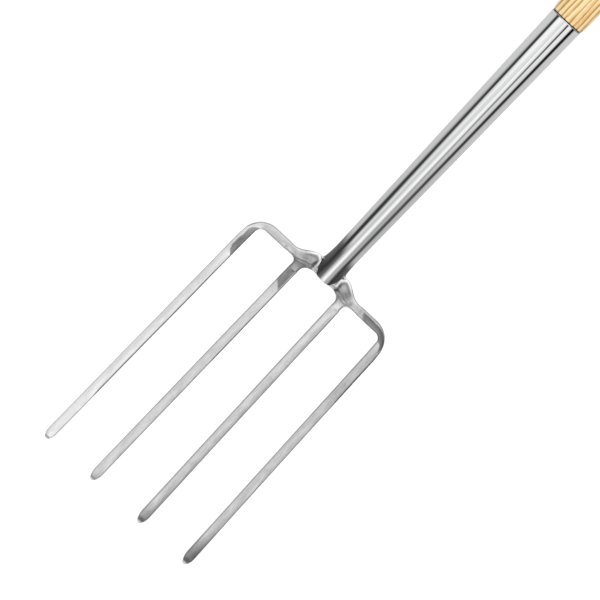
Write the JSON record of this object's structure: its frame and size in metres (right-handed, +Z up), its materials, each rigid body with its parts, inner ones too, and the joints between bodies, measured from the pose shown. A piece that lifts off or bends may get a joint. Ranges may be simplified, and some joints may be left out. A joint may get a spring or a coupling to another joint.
{
  "type": "garden fork",
  "caption": "Upright garden fork: straight square-section tines on a forged crossbar, a long tapered steel socket, and an ash shaft with a turned T-grip.",
  "frame": {"origin": "middle of the crossbar's flat underside, where the fork comes to rest when the tines are fully in the ground", "axes": "+Z runs up the shaft to the T-grip, the tines point down to -Z, the front faces -Y, and +X runs along the crossbar"},
  "size_m": [0.191, 0.0387, 1.0495],
  "materials": {
    "ground_steel": "satin ground stainless steel with fine lengthwise brush marks",
    "weld_steel": "stainless filler metal, ground flush",
    "polished_steel": "mirror polished stainless steel tube",
    "screw_steel": "bright stainless steel",
    "ash": "clear lacquered ash with honey brown grain",
    "wedge_wood": "darker hardwood, lacquered with the grip"
  },
  "bodies": {
    "root": {"yoke": "ground_steel", "outer_tine_left": "ground_steel", "outer_tine_right": "ground_steel", "inner_tine_left": "ground_steel", "inner_tine_right": "ground_steel", "arm_weld_left": "weld_steel", "arm_weld_right": "weld_steel", "tine_weld_left": "weld_steel", "tine_weld_right": "weld_steel", "socket": "polished_steel", "socket_weld": "weld_steel", "socket_screw_upper": "screw_steel", "socket_screw_lower": "screw_steel", "shaft": "ash", "t_grip": "ash", "tenon_wedge": "wedge_wood", "grip_pin": "screw_steel"}
  },
  "joints": []
}
